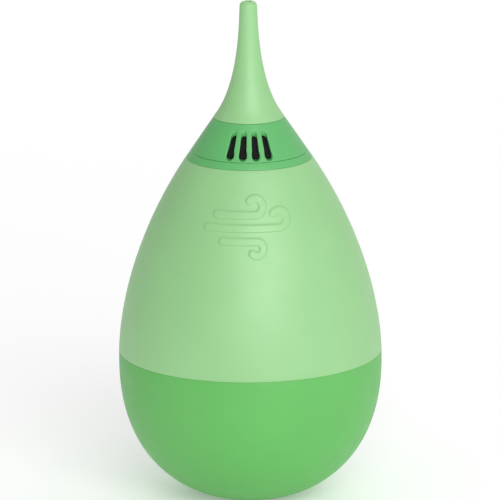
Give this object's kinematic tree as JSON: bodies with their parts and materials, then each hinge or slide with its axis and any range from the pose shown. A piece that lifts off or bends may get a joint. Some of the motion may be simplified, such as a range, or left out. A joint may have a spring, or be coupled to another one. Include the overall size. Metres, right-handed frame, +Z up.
{
  "type": "squeeze bulb air blower",
  "caption": "Egg-shaped two-tone squeeze bulb on a weighted base, with a slotted air-intake collar, intake filter, one-way valves and a slim soft nozzle.",
  "frame": {"origin": "centre of the flat foot that the blower stands on", "axes": "+Z up along the bulb's axis to the nozzle's tip; the front, with the first group of slots, faces -Y"},
  "size_m": [0.0744, 0.0744, 0.142],
  "materials": {
    "pale_silicone": "matte moulded silicone, pale green",
    "deep_silicone": "matte moulded silicone, deeper green",
    "collar_plastic": "satin moulded plastic, mid green",
    "valve_plastic": "satin moulded plastic, off-white",
    "filter_cloth": "black open filter mesh and foam",
    "seal_rubber": "black O-ring rubber",
    "clear_silicone": "thin translucent silicone",
    "steel": "turned steel"
  },
  "bodies": {
    "bulb": {"lower_bulb": "deep_silicone", "upper_bulb": "pale_silicone", "weight_seat": "valve_plastic", "counterweight": "steel", "weight_washer": "steel", "weight_screw": "steel"},
    "head": {"base_ring": "collar_plastic", "plate_seal": "seal_rubber", "valve_plate": "valve_plastic", "flap_clip": "steel", "outlet_retainer": "valve_plastic"},
    "intake_flap": {"intake_flap": "clear_silicone"},
    "outlet_disc": {"outlet_disc": "clear_silicone"},
    "filter_set": {"filter_screen": "filter_cloth", "filter_foam": "filter_cloth", "filter_cage": "valve_plastic"},
    "collar": {"intake_collar": "collar_plastic"},
    "nozzle": {"nozzle": "pale_silicone", "nozzle_core": "valve_plastic", "nozzle_o_ring": "seal_rubber"}
  },
  "joints": [
    {"name": "bulb_squeeze", "type": "slide", "parent": "bulb", "child": "head", "axis": [0, 0, -1], "range_m": [0, 0.015], "stiffness_N_per_m": 1000, "deforming": ["upper_bulb"]},
    {"name": "intake_flap_drop", "type": "slide", "parent": "head", "child": "intake_flap", "axis": [0, 0, -1], "range_m": [0, 0.00115], "stiffness_N_per_m": 20, "springref_m": -0.0005},
    {"name": "outlet_disc_lift", "type": "slide", "parent": "head", "child": "outlet_disc", "axis": [0, 0, 1], "range_m": [0, 0.00145]},
    {"name": "collar_lift", "type": "slide", "parent": "head", "child": "filter_set", "axis": [0, 0, 1], "range_m": [0, 0.005]},
    {"name": "collar_turn", "type": "hinge", "parent": "filter_set", "child": "collar", "pos_m": [0, 0, 0.1], "axis": [0, 0, 1], "range_deg": [0, 450]},
    {"name": "nozzle_pull", "type": "slide", "parent": "filter_set", "child": "nozzle", "axis": [0, 0, 1], "range_m": [0, 0.025]}
  ],
  "couplings": [
    {"joint": "collar_lift", "follows": "collar_turn", "m_per_rad": 0.00063662}
  ]
}
